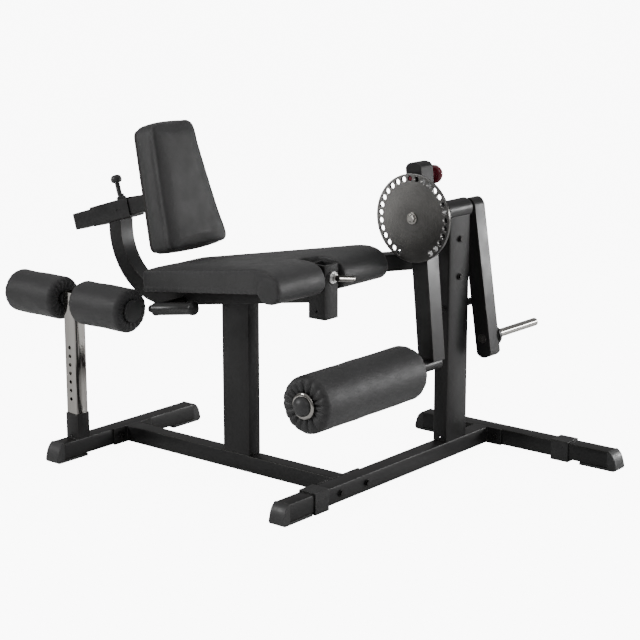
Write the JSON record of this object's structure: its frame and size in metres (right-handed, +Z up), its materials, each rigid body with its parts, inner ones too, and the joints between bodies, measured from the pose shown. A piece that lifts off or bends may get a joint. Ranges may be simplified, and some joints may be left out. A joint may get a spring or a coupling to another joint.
{
  "type": "leg extension machine",
  "caption": "Plate-loaded leg extension machine with tilted seat, sliding back rest, pivoting roller lever with a hole disc, weight arm and stored thigh hold-down.",
  "frame": {"origin": "middle of the machine's footprint box, on the floor", "axes": "+X forward, the way the seated user faces; +Y to the user's left; +Z up"},
  "size_m": [1.5974, 1.1822, 1.0128],
  "materials": {
    "frame_paint": "satin",
    "chrome": "polished",
    "cam_steel": "satin",
    "zinc": "satin",
    "vinyl": "satin",
    "rubber": "matte",
    "black_plastic": "matte",
    "bush_plastic": "matte",
    "red_plastic": "gloss",
    "plywood": "matte"
  },
  "bodies": {
    "frame": {"rear_foot": "frame_paint", "base_beam": "frame_paint", "front_cross_beam": "frame_paint", "side_foot": "frame_paint", "rear_shoe_near": "black_plastic", "rear_shoe_far": "black_plastic", "front_shoe_near": "black_plastic", "side_shoe_rear": "black_plastic", "side_shoe_front": "black_plastic", "front_foot_band": "rubber", "side_foot_band": "rubber", "rear_bolt_near": "zinc", "rear_bolt_far": "zinc", "beam_bolt_near": "zinc", "beam_bolt_far": "zinc", "side_bolt_rear": "zinc", "side_bolt_front": "zinc", "brace_bolt_lower": "zinc", "brace_bolt_upper": "zinc", "seat_post": "frame_paint", "seat_rail": "frame_paint", "seat_board": "plywood", "seat_pad": "vinyl", "grip_bar": "frame_paint", "grip_near": "rubber", "grip_far": "rubber", "slide_sleeve": "frame_paint", "back_pin_housing": "black_plastic", "diagonal_brace": "frame_paint", "hold_down_receiver": "frame_paint", "receiver_liner": "bush_plastic", "receiver_pin_housing": "zinc", "tower_post": "frame_paint", "pivot_housing": "frame_paint", "pivot_bush_near": "bush_plastic", "pivot_bush_far": "bush_plastic", "stop_bolt": "zinc", "stop_bumper": "rubber"},
    "back_rest": {"back_slide_bar": "frame_paint", "back_board": "plywood", "back_pad": "vinyl"},
    "back_pin": {"back_pin": "black_plastic"},
    "receiver_pin": {"receiver_pin": "chrome"},
    "hold_down": {"storage_post": "chrome", "foam_axle": "black_plastic"},
    "foam_front": {"foam_front": "vinyl"},
    "foam_rear": {"foam_rear": "vinyl"},
    "cam": {"cam_disc": "cam_steel", "cam_shaft": "zinc", "hub_bolt": "chrome", "weight_arm": "frame_paint", "weight_post": "chrome"},
    "lever": {"lever_arm": "frame_paint", "lever_bush": "bush_plastic", "cam_pin_housing": "zinc", "roller_axle": "frame_paint", "roller_washer": "chrome", "roller_end_cap": "black_plastic"},
    "cam_pin": {"cam_pin": "red_plastic"},
    "roller": {"roller_foam": "vinyl"}
  },
  "joints": [
    {"name": "leg_swing", "type": "hinge", "parent": "frame", "child": "cam", "pos_m": [0.32535, 0.21815, 0.753], "axis": [0, -1, 0], "range_deg": [0, 120]},
    {"name": "lever_setting", "type": "hinge", "parent": "cam", "child": "lever", "pos_m": [0.32535, 0.06315, 0.753], "axis": [0, -1, 0], "range_deg": [-11.61, 58.06]},
    {"name": "cam_pin_pull", "type": "slide", "parent": "lever", "child": "cam_pin", "axis": [0, 1, 0], "range_m": [0, 0.012], "stiffness_N_per_m": 700},
    {"name": "roller_spin", "type": "hinge", "parent": "lever", "child": "roller", "pos_m": [0.36634, -0.28785, 0.32496], "axis": [0, 1, 0], "continuous": true},
    {"name": "back_rest_slide", "type": "slide", "parent": "frame", "child": "back_rest", "axis": [0.9588, 0, 0.284], "range_m": [-0.05, 0.1]},
    {"name": "back_pin_pull", "type": "slide", "parent": "frame", "child": "back_pin", "axis": [-0.284, 0, 0.9588], "range_m": [0, 0.012], "stiffness_N_per_m": 700},
    {"name": "receiver_pin_pull", "type": "slide", "parent": "frame", "child": "receiver_pin", "axis": [1, 0, 0], "range_m": [0, 0.014], "stiffness_N_per_m": 700},
    {"name": "hold_down_lift", "type": "slide", "parent": "frame", "child": "hold_down", "axis": [0, 0, 1], "range_m": [0, 0.08]},
    {"name": "foam_front_spin", "type": "hinge", "parent": "hold_down", "child": "foam_front", "pos_m": [-0.40965, -0.48085, 0.48], "axis": [1, 0, 0], "continuous": true},
    {"name": "foam_rear_spin", "type": "hinge", "parent": "hold_down", "child": "foam_rear", "pos_m": [-0.68965, -0.48085, 0.48], "axis": [1, 0, 0], "continuous": true}
  ]
}
